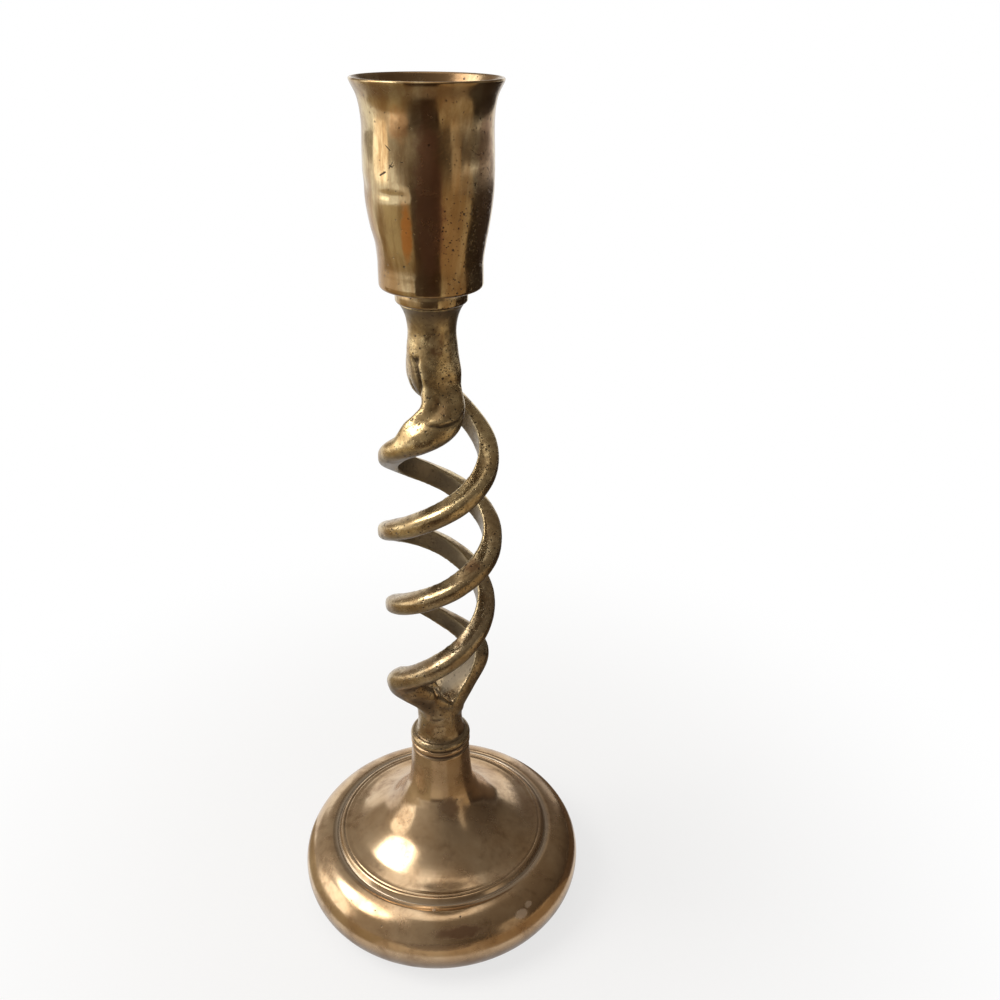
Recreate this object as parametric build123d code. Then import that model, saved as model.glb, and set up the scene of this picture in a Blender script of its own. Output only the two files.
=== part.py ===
"""Open twist candle holder in cast and turned brass, standing on its base.

The frame has its origin on the turning axis at the surface that the holder stands on, with +Z up and
the front towards -Y. From the ground up it is a hollow cast base with a rolled edge and a concave
cone, a stem whose neck splits into two strands that wind round an open core, and a tulip cup that
takes a taper candle. A stud screws the cup to the stem. A second stud pulls the stem down on the
base with a nut and a washer inside the hollow. Everything is screwed tight, so nothing moves.
"""
import os
from math import cos, pi, radians, sin, sqrt

from build123d import *
from scipy.interpolate import PchipInterpolator

# The three castings stacked on the axis
base_height = 59.0
stem_length = 142.0
cup_height = 53.0

# Base: rolled edge, shoulder with two turned grooves, concave cone and a step ring at the top
base_diameter = 92.0
edge_round = 10.7
foot_flat = 0.2
foot_lip_width = 2.3
base_wall = 3.0
shoulder_band = 3.6
groove_width = 1.0
groove_depth = 0.6
shoulder_step_width = 1.3
shoulder_step_rise = 1.5
step_side_width_share = 0.4
step_side_rise_share = 0.75
cone_top_radius = 9.15
step_ring_radius = 9.4
step_ring_height = 1.9
crease_depth = 0.5
base_boss_height = 23.0
cone_radius_shares = [0.765, 0.455, 0.235, 0.115, 0.040]
cone_height_shares = [0.045, 0.165, 0.330, 0.475, 0.640]

# Stem: collar ring, lower neck, two strands and upper neck
collar_radius = 9.45
collar_height = 2.9
collar_crease = 1.1
lower_neck_radius = 6.95
lower_neck_length = 9.8
upper_neck_waist = 6.35
upper_neck_split_radius = 7.15
upper_neck_top_radius = 8.75
upper_neck_length = 15.6
neck_land = 1.2
neck_overlap = 0.6
strand_width = 6.2
strand_depth = 5.5
strand_reach = 11.4
strand_sink = 0.3
strand_sections = 41
strand_turn_span = 5.0
twist_bow = 1.2
neck_fill_share = 0.95
middle_share = 0.5
route_samples = 800
upper_neck_waist_share = 0.5

# Half of a strand's D section, from its flat inner face round to its crown
section_width_shares = [0.97, 0.98, 0.64]
section_depth_shares = [0.00, 0.28, 0.78]

# Route of each strand: height along the split, angle in degrees, how far its flat face stands out
# from the axis, how much of the neck's half round it keeps, and its girth against the full section
right_strand_shares = [
    (0.000, -332, 0.00, 1.00, 1.00),
    (0.026, -332, 0.05, 1.00, 1.00),
    (0.055, -332, 0.24, 0.92, 1.00),
    (0.085, -332, 0.49, 0.78, 1.00),
    (0.115, -332, 0.75, 0.60, 1.00),
    (0.140, -328, 0.94, 0.40, 1.00),
    (0.165, -313, 1.01, 0.16, 0.95),
    (0.205, -280, 0.99, 0.00, 0.85),
    (0.270, -235, 0.98, 0.00, 0.74),
    (0.334, -180, 1.00, 0.00, 0.95),
    (0.533, 0, 1.08, 0.00, 1.00),
    (0.750, 180, 0.97, 0.00, 1.00),
    (0.792, 210, 0.95, 0.07, 1.00),
    (0.829, 242, 0.87, 0.24, 1.00),
    (0.857, 274, 0.66, 0.42, 1.00),
    (0.880, 296, 0.42, 0.52, 1.00),
    (0.905, 303, 0.22, 0.62, 1.00),
    (0.935, 299, 0.08, 0.85, 1.00),
    (0.965, 295, 0.02, 1.00, 1.00),
    (1.000, 295, 0.00, 1.00, 1.00),
]
left_strand_shares = [
    (0.000, -512, 0.00, 1.00, 1.00),
    (0.030, -512, 0.05, 1.00, 1.00),
    (0.057, -513, 0.25, 0.90, 1.00),
    (0.081, -516, 0.52, 0.74, 1.00),
    (0.101, -520, 0.80, 0.55, 1.00),
    (0.118, -518, 0.98, 0.36, 1.00),
    (0.135, -507, 1.02, 0.17, 0.98),
    (0.165, -481, 1.00, 0.02, 0.95),
    (0.205, -450, 0.97, 0.00, 0.92),
    (0.332, -360, 0.95, 0.00, 0.92),
    (0.550, -180, 1.08, 0.00, 1.00),
    (0.758, 0, 1.00, 0.00, 1.00),
    (0.815, 42, 0.96, 0.00, 1.00),
    (0.853, 60, 0.80, 0.08, 1.00),
    (0.882, 72, 0.55, 0.28, 1.00),
    (0.905, 84, 0.34, 0.50, 1.00),
    (0.930, 97, 0.16, 0.74, 1.00),
    (0.960, 110, 0.05, 0.96, 1.00),
    (1.000, 115, 0.00, 1.00, 1.00),
]

# Cup: foot ring, rounded lower edge, bulge, waist and flared lip round a straight candle bore
cup_foot_radius = 9.45
cup_foot_height = 2.6
cup_edge_rise = 1.3
cup_lower_radius = 13.4
cup_edge_round = 1.5
cup_bulge_radius = 16.05
cup_waist_radius = 15.9
cup_lip_radius = 18.28
cup_lip_thickness = 1.1
cup_wall = 2.1
candle_diameter = 22.0
candle_clearance = 0.3
candle_bore_depth = 20.0
candle_floor = 7.5
bore_shoulder = 3.2
cup_height_shares = [0.21, 0.30, 0.37, 0.43, 0.51]
cup_radius_shares = [0.838, 0.885, 0.928, 0.958, 0.987]
bulge_height_share = 0.64
waist_height_share = 0.83

# Studs, nut and washer
stud_diameter = 6.0
stud_chamfer = 0.6
thread_clearance = 0.05
hole_clearance = 0.4
hole_end_gap = 0.6
cup_stud_in_cup = 5.4
cup_stud_in_stem = 11.4
stem_stud_in_stem = 9.6
stem_stud_past_nut = 1.5
nut_across_flats = 10.0
nut_height = 5.0
nut_chamfer = 0.4
washer_diameter = 16.0
washer_thickness = 1.6

# Places and sizes that follow from the ones above
overrun = 1.0
cup_bottom = base_height + stem_length
boss_bottom = base_height - base_boss_height
washer_bottom = boss_bottom - washer_thickness
nut_bottom = washer_bottom - nut_height
stud_radius = stud_diameter / 2
thread_radius = stud_radius + thread_clearance
hole_radius = stud_radius + hole_clearance
bore_radius = candle_diameter / 2 + candle_clearance
bore_floor = cup_bottom + candle_floor
lower_split = base_height + collar_height + lower_neck_length
upper_split = cup_bottom - upper_neck_length


def turned(outline):
    """Solid of revolution round +Z of a closed outline given as radius and height."""
    return revolve(Plane.XZ * make_face(outline), Axis.Z, 360)


def rod(radius, bottom, top):
    """Round bar on the axis between two heights."""
    bar = Cylinder(radius, top - bottom, align=(Align.CENTER, Align.CENTER, Align.MIN))
    return Pos(0, 0, bottom) * bar


def inset(points, wall):
    """Inner points of a run, each moved by the wall square to its neighbours' chord."""
    moved = []
    for before, here, after in zip(points, points[1:], points[2:]):
        run, rise = after[0] - before[0], after[1] - before[1]
        span = sqrt(run**2 + rise**2)
        moved.append((here[0] - wall * rise / span, here[1] + wall * run / span))
    return moved


def make_base():
    """Hollow cast base: rolled edge, shoulder with two grooves, cone, step ring and inner boss."""
    edge_center = base_diameter / 2 - edge_round
    edge_height = edge_round - foot_flat
    edge_top = edge_height + edge_round
    foot = (edge_center + sqrt(edge_round**2 - edge_height**2), 0)
    band = (edge_center + shoulder_band, edge_height + sqrt(edge_round**2 - shoulder_band**2))
    groove = (edge_center, edge_top)
    groove_end = (edge_center - groove_width, edge_top)
    groove_floor = (edge_center - groove_width / 2, edge_top - groove_depth)
    step = (edge_center - groove_width - shoulder_step_width, edge_top + shoulder_step_rise)
    step_side = (
        step[0] + shoulder_step_width * step_side_width_share,
        edge_top + shoulder_step_rise * step_side_rise_share,
    )
    step_groove = (step[0] - groove_width / 2, step[1] - groove_depth)

    cone_start = (step[0] - groove_width, step[1])
    cone_end = (cone_top_radius, base_height - step_ring_height - crease_depth)
    cone_run, cone_rise = cone_start[0] - cone_end[0], cone_end[1] - cone_start[1]
    cone = [cone_start]
    for out, up in zip(cone_radius_shares, cone_height_shares):
        cone.append((cone_end[0] + out * cone_run, cone_start[1] + up * cone_rise))
    cone.append(cone_end)
    crease = (cone_top_radius - crease_depth, cone_end[1] + crease_depth / 2)
    ring_bottom = (cone_top_radius, cone_end[1] + crease_depth)
    ring_side = (step_ring_radius, base_height - step_ring_height / 2)
    seat_edge = (cone_top_radius - crease_depth, base_height)
    outside = [
        ThreePointArc(foot, (edge_center + edge_round, edge_height), band),
        Polyline(band, groove, groove_floor, groove_end, step_side, step, step_groove, cone_start),
        Spline(cone),
        Polyline(cone_end, crease, ring_bottom),
        ThreePointArc(ring_bottom, ring_side, seat_edge),
        Polyline(seat_edge, (0, base_height), (0, 0), foot),
    ]

    inner_round = edge_round - base_wall
    lip = edge_center - foot_lip_width
    lip_top = (lip, edge_height - sqrt(inner_round**2 - foot_lip_width**2))
    roof_start = (edge_center, edge_height + inner_round)
    roof = [roof_start, *inset(cone, base_wall)]
    inside = [
        Polyline((0, -overrun), (lip, -overrun), lip_top),
        ThreePointArc(lip_top, (edge_center + inner_round, edge_height), roof_start),
        Polyline(*roof, (0, roof[-1][1]), (0, -overrun)),
    ]
    cavity = turned(inside) & rod(base_diameter, -overrun, boss_bottom)
    return turned(outside) - cavity - rod(hole_radius, 0, base_height + overrun)


def strand_section(place, along, outward, width, depth):
    """D-shaped face square to the run: a flat towards the axis and a round crown away from it."""
    half = [
        (width / 2 * across, depth * up)
        for across, up in zip(section_width_shares, section_depth_shares)
    ]
    crown = [*half, (0, depth), *[(-across, up) for across, up in reversed(half)]]
    plane = Plane(origin=place, x_dir=outward.cross(along), z_dir=along)
    return plane * make_face([Spline(crown), Line(crown[-1], crown[0])])


def make_strand(route):
    """One strand of the twist, lofted from neck to neck along its table of shares."""
    bottom, top = lower_split - neck_overlap, upper_split + neck_overlap
    heights = [row[0] for row in route]
    columns = [PchipInterpolator(heights, column) for column in list(zip(*route))[1:]]
    angle, reach, keep, girth = columns

    def flat(share):
        """Middle of the flat face; past its ends the run goes on straight up and down."""
        held = min(max(share, 0), 1)
        out = (strand_reach + strand_sink) * float(reach(held)) - strand_sink
        turn = radians(float(angle(held)))
        bow = twist_bow * sin(pi * held)
        return Vector(out * cos(turn) + bow, out * sin(turn), bottom + share * (top - bottom))

    fine = [index / route_samples for index in range(route_samples + 1)]
    length = [0.0]
    for here, after in zip(fine, fine[1:]):
        length.append(length[-1] + (flat(after) - flat(here)).length)
    share_at = PchipInterpolator(length, fine)

    def point(distance):
        """Place on the run at a distance from its lower end."""
        if distance < 0:
            return flat(0) + Vector(0, 0, distance)
        if distance > length[-1]:
            return flat(1) + Vector(0, 0, distance - length[-1])
        return flat(float(share_at(distance)))

    sections = []
    for index in range(strand_sections + 1):
        distance = length[-1] * index / strand_sections
        share = float(share_at(distance))
        along = (point(distance + strand_turn_span) - point(distance - strand_turn_span)).normalized()
        if index in (0, strand_sections):
            along = Vector(0, 0, 1)
        turn = radians(float(angle(share)))
        radial = Vector(cos(turn), sin(turn), 0)
        outward = (radial - along * radial.dot(along)).normalized()
        neck = lower_neck_radius if share < middle_share else upper_neck_split_radius
        kept, full = float(keep(share)), float(girth(share))
        width = strand_width * full * (1 - kept) + 2 * neck * neck_fill_share * kept
        depth = strand_depth * full * (1 - kept) + (neck * neck_fill_share + strand_sink) * kept
        sections.append(strand_section(point(distance), along, outward, width, depth))
    return loft(sections)


def make_twist_stem():
    """One casting: collar ring and lower neck, two strands round an open core, and upper neck."""
    collar_top = base_height + collar_height
    collar_foot = (collar_radius - crease_depth, base_height)
    collar_edge = (collar_radius - collar_crease, collar_top)
    neck_foot = (collar_edge[0] - crease_depth, collar_top - crease_depth / 2)
    lower = [
        Polyline((0, lower_split), (0, base_height), collar_foot),
        ThreePointArc(collar_foot, (collar_radius, base_height + collar_height / 2), collar_edge),
        Line(collar_edge, neck_foot),
        Spline(
            neck_foot,
            (lower_neck_radius, lower_split - neck_land),
            tangents=[(-1, 1), (0, 1)],
        ),
        Polyline(
            (lower_neck_radius, lower_split - neck_land),
            (lower_neck_radius, lower_split),
            (0, lower_split),
        ),
    ]
    upper = [
        Polyline((0, upper_split), (0, cup_bottom), (upper_neck_top_radius, cup_bottom)),
        Spline(
            (upper_neck_top_radius, cup_bottom),
            (upper_neck_waist, cup_bottom - upper_neck_length * upper_neck_waist_share),
            (upper_neck_split_radius, upper_split + neck_land),
            tangents=[(-1, -1), (0, -1)],
        ),
        Polyline(
            (upper_neck_split_radius, upper_split + neck_land),
            (upper_neck_split_radius, upper_split),
            (0, upper_split),
        ),
    ]
    stem = turned(lower) + turned(upper)
    stem += make_strand(right_strand_shares)
    stem += make_strand(left_strand_shares)
    lower_hole = base_height + stem_stud_in_stem + hole_end_gap
    upper_hole = cup_bottom - cup_stud_in_stem - hole_end_gap
    stem -= rod(thread_radius, base_height - overrun, lower_hole)
    return stem - rod(thread_radius, upper_hole, cup_bottom + overrun)


def make_candle_cup():
    """Turned tulip cup on a foot ring, with a straight bore for the candle below its flared mouth."""
    top = cup_bottom + cup_height
    edge_bottom = cup_bottom + cup_foot_height + cup_edge_rise
    foot_start = (cup_foot_radius - crease_depth, cup_bottom)
    foot_side = (cup_foot_radius, cup_bottom + cup_foot_height / 2)
    foot_end = (cup_foot_radius - crease_depth, cup_bottom + cup_foot_height)
    under = (cup_lower_radius - cup_edge_round, edge_bottom)
    side = [(cup_lower_radius, edge_bottom + cup_edge_round)]
    for up, out in zip(cup_height_shares, cup_radius_shares):
        side.append((cup_bulge_radius * out, cup_bottom + cup_height * up))
    side.append((cup_bulge_radius, cup_bottom + cup_height * bulge_height_share))
    side.append((cup_waist_radius, cup_bottom + cup_height * waist_height_share))
    side.append((cup_lip_radius, top - cup_lip_thickness / 2))
    lip_inner = (cup_lip_radius - cup_lip_thickness, top - cup_lip_thickness / 2)
    mouth = [lip_inner]
    mouth.append((cup_waist_radius - cup_wall, cup_bottom + cup_height * waist_height_share))
    mouth.append((cup_bulge_radius - cup_wall, cup_bottom + cup_height * bulge_height_share))
    bore_top = bore_floor + candle_bore_depth
    shoulder = (cup_bulge_radius - cup_wall - crease_depth, bore_top + bore_shoulder)
    outline = [
        Polyline((0, bore_floor), (0, cup_bottom), foot_start),
        ThreePointArc(foot_start, foot_side, foot_end),
        Line(foot_end, under),
        RadiusArc(under, side[0], -cup_edge_round),
        Spline(side),
        ThreePointArc(side[-1], (cup_lip_radius - cup_lip_thickness / 2, top), lip_inner),
        Spline([*mouth, shoulder]),
        Polyline(shoulder, (bore_radius, bore_top), (bore_radius, bore_floor), (0, bore_floor)),
    ]
    hole_top = cup_bottom + cup_stud_in_cup + hole_end_gap
    return turned(outline) - rod(thread_radius, cup_bottom - overrun, hole_top)


def make_stud(bottom, top):
    """Threaded rod with chamfered ends, drawn at its outer diameter."""
    return chamfer(rod(stud_radius, bottom, top).edges(), stud_chamfer)


def make_base_washer():
    """Flat washer against the base's inner boss."""
    return rod(washer_diameter / 2, washer_bottom, boss_bottom) - rod(
        hole_radius, washer_bottom - overrun, boss_bottom + overrun
    )


def make_base_nut():
    """Hexagon nut that pulls the stem's stud down, with its corners turned off on both faces."""
    hexagon = RegularPolygon(nut_across_flats / 2, 6, major_radius=False)
    blank = Pos(0, 0, nut_bottom) * extrude(hexagon, nut_height)
    corner = nut_across_flats / sqrt(3)
    turned_corner = chamfer(rod(corner, nut_bottom, washer_bottom).edges(), nut_chamfer)
    return (blank & turned_corner) - rod(
        thread_radius, nut_bottom - overrun, washer_bottom + overrun
    )


pieces = {
    "base": make_base(),
    "twist_stem": make_twist_stem(),
    "candle_cup": make_candle_cup(),
    "cup_stud": make_stud(cup_bottom - cup_stud_in_stem, cup_bottom + cup_stud_in_cup),
    "stem_stud": make_stud(nut_bottom - stem_stud_past_nut, base_height + stem_stud_in_stem),
    "base_washer": make_base_washer(),
    "base_nut": make_base_nut(),
}
os.makedirs("parts", exist_ok=True)
for name, piece in pieces.items():
    export_step(piece, f"parts/{name}.step")
    print(name, round(piece.volume), piece.is_valid, len(piece.solids()))
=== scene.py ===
"""Looks of the open twist candle holder: aged brass castings, screwed together, on a pale floor.

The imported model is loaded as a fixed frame, in metres, with +Z up and the front towards -Y. The
sections follow the holder as it is put together, from the base up, and the stage comes last.
"""
import math

import bpy
import numpy as np
from mathutils import Matrix, Vector


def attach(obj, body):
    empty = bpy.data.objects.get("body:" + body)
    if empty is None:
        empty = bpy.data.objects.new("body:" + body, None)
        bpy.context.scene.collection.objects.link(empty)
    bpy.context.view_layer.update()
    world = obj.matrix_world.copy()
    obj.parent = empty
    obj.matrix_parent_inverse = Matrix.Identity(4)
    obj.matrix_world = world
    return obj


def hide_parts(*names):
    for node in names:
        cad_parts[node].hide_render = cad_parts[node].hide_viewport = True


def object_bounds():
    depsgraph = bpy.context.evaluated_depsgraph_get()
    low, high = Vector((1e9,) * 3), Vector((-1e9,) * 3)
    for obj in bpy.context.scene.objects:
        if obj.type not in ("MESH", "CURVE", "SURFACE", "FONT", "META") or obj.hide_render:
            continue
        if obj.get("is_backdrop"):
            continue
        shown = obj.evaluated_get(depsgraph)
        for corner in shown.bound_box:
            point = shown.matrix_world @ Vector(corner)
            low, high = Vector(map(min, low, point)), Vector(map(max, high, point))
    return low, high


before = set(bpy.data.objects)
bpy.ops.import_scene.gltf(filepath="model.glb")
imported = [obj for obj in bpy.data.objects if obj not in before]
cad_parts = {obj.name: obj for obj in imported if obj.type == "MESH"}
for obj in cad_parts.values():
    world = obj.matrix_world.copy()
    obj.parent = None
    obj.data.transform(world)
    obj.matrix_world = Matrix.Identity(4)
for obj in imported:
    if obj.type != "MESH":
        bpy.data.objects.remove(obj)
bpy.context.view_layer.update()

# Base

# A hollow sand casting in brass with a rolled edge, turned on a lathe: two fine grooves part the
# shoulder from a concave cone, and a small step ring ends it under the stem. It was polished once
# and has aged to a satin, pinkish gold with a brown tarnish. Its colour also carries painted dark
# reflections in the brown, painted shade underneath and a painted highlight round the edge's crown.
base_height = 59.0
base_radius = 46.0
boss_face = 36.0
stud_hole = 3.4
shoulder_foot = 19.0
step_crease = 56.6
edge_round = 10.7
edge_lift = 0.2
base_wall = 3.0
groove_width = 0.9
groove_depth = 0.26
cone_rows = [
    (32.0, 22.6), (26.63, 24.11), (19.52, 28.1), (14.49, 33.6), (11.75, 38.4), (10.05, 43.9),
    (9.15, 56.3),
]


def smooth_run(points, steps):
    """Catmull-Rom run through points: each span is the cubic whose slope at a point is half the
    step between its neighbours, with the first and last points doubled."""
    p = np.asarray(points, float)
    p = np.vstack([2 * p[0] - p[1], p, 2 * p[-1] - p[-2]])
    t = np.linspace(0, 1, steps, endpoint=False)[:, None]
    a, b, c, d = p[:-3, None], p[1:-2, None], p[2:-1, None], p[3:, None]
    run = 0.5 * (2 * b + (c - a) * t + (2 * a - 5 * b + 4 * c - d) * t**2
                 + (3 * b - a - 3 * c + d) * t**3)
    return np.vstack([run.reshape(-1, p.shape[1]), p[-2]])


def arc_run(center, radius, start, end, steps):
    """Circle arc in the profile plane: center + radius (cos a, sin a), a from start to end."""
    a = np.radians(np.linspace(start, end, steps))
    return np.stack([center[0] + radius * np.cos(a), center[1] + radius * np.sin(a)], 1)


def eased_corners(points, cut, steps=5):
    """Open run of straight lines whose corners are eased: each corner becomes the parabola that
    leaves one line and meets the next at the cut length, or at 0.45 of a shorter line."""
    p = np.asarray(points, float)
    before, here, after = p[:-2], p[1:-1], p[2:]
    back, on = before - here, after - here
    lb, lo = np.linalg.norm(back, axis=1), np.linalg.norm(on, axis=1)
    reach = np.minimum(cut, 0.45 * np.minimum(lb, lo))[:, None]
    a, b = here + back / lb[:, None] * reach, here + on / lo[:, None] * reach
    t = np.linspace(0, 1, steps)[None, :, None]
    bend = (1 - t) ** 2 * a[:, None] + 2 * t * (1 - t) * here[:, None] + t**2 * b[:, None]
    return np.vstack([p[:1], bend.reshape(-1, 2), p[-1:]])


def even_run(profile, step):
    """The same profile with its points no further apart than step, each gap cut evenly."""
    gap = np.linalg.norm(np.diff(profile, axis=0), axis=1)
    count = np.maximum(np.ceil(gap / step).astype(int), 1)
    index = np.repeat(np.arange(len(gap)), count)
    share = (np.arange(count.sum()) - np.repeat(np.cumsum(count) - count, count)) / count[index]
    cut = profile[index] + (profile[index + 1] - profile[index]) * share[:, None]
    return np.vstack([cut, profile[-1:]])


def grid_faces(rows, columns, ring=True, closed=False):
    """Four-sided faces of a grid whose points are numbered row by row: each joins a point, the
    next in its row and the two above them. A ring joins the last column to the first, and a
    closed grid its last row to the first."""
    i = np.arange(rows if closed else rows - 1)[:, None]
    j = np.arange(columns if ring else columns - 1)[None, :]
    k, up = (j + 1) % columns, (i + 1) % rows
    faces = np.stack([i * columns + j, i * columns + k, up * columns + k, up * columns + j], -1)
    return faces.reshape(-1, 4).tolist()


def round_grid(radius, z):
    """Points row by row at (r cos a, r sin a, z): a row for each height z, with its radii at as
    many even angles a."""
    turns = radius.shape[1]
    a = np.linspace(0, 2 * np.pi, turns, endpoint=False)
    return np.stack([radius * np.cos(a), radius * np.sin(a), np.repeat(z[:, None], turns, 1)],
                    -1).reshape(-1, 3)


def turned_surface(profile, turns, closed=False):
    """Surface of revolution on a grid: point (i, j) is (r_i cos a_j, r_i sin a_j, z_i). A closed
    profile joins its last row to its first. An open one gets a fan to the axis at both ends."""
    r, z = profile[:, 0], profile[:, 1]
    points = round_grid(np.repeat(r[:, None], turns, 1), z)
    faces = grid_faces(len(r), turns, closed=closed)
    if not closed:
        ring, top = np.arange(turns), (len(r) - 1) * turns
        after = (ring + 1) % turns
        faces += np.stack([np.full(turns, len(points)), after, ring], 1).tolist()
        faces += np.stack([np.full(turns, len(points) + 1), top + ring, top + after], 1).tolist()
        points = np.vstack([points, [0, 0, z[0]], [0, 0, z[-1]]])
    return points, faces


def lattice_noise(points, size, seed):
    """Smooth value noise from -1 to 1: random numbers on a cubic lattice of that size, blended
    inside each cell by the smoothstep of the place in the cell along each axis."""
    table = np.random.RandomState(seed).uniform(-1, 1, (32, 32, 32))
    p = points / size
    cell = np.floor(p).astype(int)
    f = p - cell
    f = f * f * (3 - 2 * f)
    total = 0
    for dx in (0, 1):
        for dy in (0, 1):
            for dz in (0, 1):
                w = np.where(dx, f[:, 0], 1 - f[:, 0]) * np.where(dy, f[:, 1], 1 - f[:, 1])
                w = w * np.where(dz, f[:, 2], 1 - f[:, 2])
                c = (cell + (dx, dy, dz)) % 32
                total = total + w * table[c[:, 0], c[:, 1], c[:, 2]]
    return total


def bell(values, center, reach):
    """Bell from 1 at the center to 0 far off: exp(-((value - center) / reach)^2)."""
    return np.exp(-((values - center) / reach) ** 2)


def fade(values, start, length):
    """Straight rise from 0 at the start to 1 a length further on, where it stays. A negative
    length rises the other way."""
    return np.clip((values - start) / length, 0, 1)


def add_marks(mesh, marks):
    """Float attributes that the materials read, with one value per point."""
    for mark, values in marks.items():
        layer = mesh.attributes.new(mark, "FLOAT", "POINT")
        layer.data.foreach_set("value", np.asarray(values, np.float32))


def finished_piece(name, points, faces, marks=None):
    """Mesh object from points in millimetres, smooth shaded, with its marks."""
    mesh = bpy.data.meshes.new(name)
    mesh.from_pydata((np.asarray(points) * 0.001).tolist(), [], faces)
    mesh.polygons.foreach_set("use_smooth", np.ones(len(mesh.polygons), bool))
    add_marks(mesh, marks or {})
    mesh.update()
    piece = bpy.data.objects.new(name, mesh)
    bpy.context.scene.collection.objects.link(piece)
    return piece


edge_center, edge_height = base_radius - edge_round, edge_round - edge_lift
edge_top = edge_height + edge_round
groove_in = edge_center - groove_width
step_out, step_top = groove_in - 1.3, edge_top + 1.5
cone_foot = (cone_rows[0][0] - 0.9, cone_rows[0][1] + 0.17)
shoulder = eased_corners([
    (edge_center + 1.2, edge_top - 0.08), (edge_center, edge_top),
    (edge_center - groove_width / 2, edge_top - groove_depth), (groove_in, edge_top + 0.12),
    (step_out + 0.62, step_top - 0.22), (step_out, step_top - 0.02),
    (step_out - 0.4, step_top - groove_depth), (step_out - 0.85, step_top), cone_foot,
], 0.5, 5)
cone = smooth_run([cone_foot, *cone_rows[1:]], 16)
seat = eased_corners([
    cone_rows[-1], (8.66, 56.62), (9.12, 57.1), (9.4, 57.6), (9.42, 58.3), (9.1, base_height - 0.1),
    (8.6, base_height), (stud_hole + 0.1, base_height), (stud_hole, base_height - 0.1),
    (stud_hole, boss_face + 0.1), (stud_hole + 0.1, boss_face), (9.1, boss_face),
    (9.4, boss_face - 0.3), (11.0, 32.1),
], 0.25, 4)
roof = smooth_run([(11.0, 32.1), (13.3, 28.9), (17.6, 25.0), (25.2, 21.2), (31.6, 19.2),
                   (edge_center, edge_height + edge_round - base_wall)], 10)
inner = arc_run((edge_center, edge_height), edge_round - base_wall, 89, -72.5, 26)
lip = eased_corners([inner[-1], (33.0, 2.4), (33.05, 0.25), (33.3, 0.0), (36.9, 0.0),
                     (37.36, 0.02)], 0.3, 4)
outer = arc_run((edge_center, edge_height), edge_round, -78.9, 83.5, 60)
base_profile = even_run(np.vstack([outer, shoulder, cone[1:], seat[1:], roof[1:], inner[1:],
                                   lip[1:-1]]), 1.1)
base_points, base_faces = turned_surface(base_profile, 256, closed=True)
swell = 0.035 * lattice_noise(base_points, 17.0, 3) + 0.012 * lattice_noise(base_points, 6.0, 4)
out_of_base = base_points - [0, 0, 12]
out_of_base = out_of_base / np.maximum(np.linalg.norm(out_of_base, axis=1), 1)[:, None]
height = base_points[:, 2]
held = fade(height, 1.5, 3) * fade(height, 57, -4)
base_points = base_points - out_of_base * (0.05 + swell)[:, None] * held[:, None]
radius, height = np.hypot(base_points[:, 0], base_points[:, 1]), base_points[:, 2]
groove_dirt = 0.45 * (height > shoulder_foot) * (bell(radius, edge_center - groove_width / 2, 0.35)
                                                 + bell(radius, step_out - 0.4, 0.3))
groove_dirt += bell(height, step_crease, 0.3) * (radius < 9.25) * (radius > 8)
# Painted highlight: a pale ring round the crown of the rolled edge, beside the outer groove.
crown_highlight = bell(radius, step_out + 2.1, 0.9) * (height > shoulder_foot)
base_cast = finished_piece("base_casting", base_points, base_faces,
                           {"dirt_and_shade": np.clip(groove_dirt, 0, 1), "crown_highlight": crown_highlight})


def put(tree, kind, inputs=None, **settings):
    """Adds a node. Each input is a value, or another node's socket, which is linked."""
    made = tree.nodes.new(kind)
    for name, value in settings.items():
        setattr(made, name, value)
    for name, value in (inputs or {}).items():
        if isinstance(value, bpy.types.NodeSocket):
            tree.links.new(value, made.inputs[name])
        else:
            made.inputs[name].default_value = value
    return made


def effect(name, inputs, outputs):
    """New shader node group, and the sockets inside it that its inputs and outputs join. A number
    makes a float input, a triple or None a vector input, and the outputs are floats."""
    tree = bpy.data.node_groups.new(name, "ShaderNodeTree")
    for label, value in inputs.items():
        kind = "NodeSocketFloat" if isinstance(value, float) else "NodeSocketVector"
        socket = tree.interface.new_socket(label, in_out="INPUT", socket_type=kind)
        if value is not None:
            socket.default_value = value
    for label in outputs:
        tree.interface.new_socket(label, in_out="OUTPUT", socket_type="NodeSocketFloat")
    return tree, tree.nodes.new("NodeGroupInput").outputs, tree.nodes.new("NodeGroupOutput").inputs


def math_node(tree, what, first, second=0.0, clamp=False):
    """Output of a Math node."""
    return put(tree, "ShaderNodeMath", {0: first, 1: second}, operation=what,
               use_clamp=clamp).outputs[0]


def vector_math(tree, what, first, second=(0, 0, 0)):
    """Output of a Vector Math node, which is a number for a length or a dot product."""
    made = put(tree, "ShaderNodeVectorMath", {0: first, 1: second}, operation=what)
    return made.outputs["Value" if what in ("LENGTH", "DOT_PRODUCT") else "Vector"]


def ramp(tree, value, low, high, to_low=0.0, to_high=1.0):
    """Output of a smooth Map Range node, from low..high to to_low..to_high."""
    return put(tree, "ShaderNodeMapRange", {"Value": value, "From Min": low, "From Max": high,
                                            "To Min": to_low, "To Max": to_high},
               interpolation_type="SMOOTHSTEP").outputs[0]


def blend_color(tree, mask, first, second):
    """Output of a colour mix: first where the mask is 0, second where it is 1."""
    mixed = put(tree, "ShaderNodeMix", {0: mask}, data_type="RGBA")
    for socket, value in ((mixed.inputs[6], first), (mixed.inputs[7], second)):
        if isinstance(value, bpy.types.NodeSocket):
            tree.links.new(value, socket)
        else:
            socket.default_value = (*value, 1)
    return mixed.outputs[2]


def tone(red, green, blue):
    """Linear colour of a screen colour from 0 to 255: ((c / 255 + 0.055) / 1.055) ^ 2.4."""
    return tuple(((c / 255 + 0.055) / 1.055) ** 2.4 for c in (red, green, blue))


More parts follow.
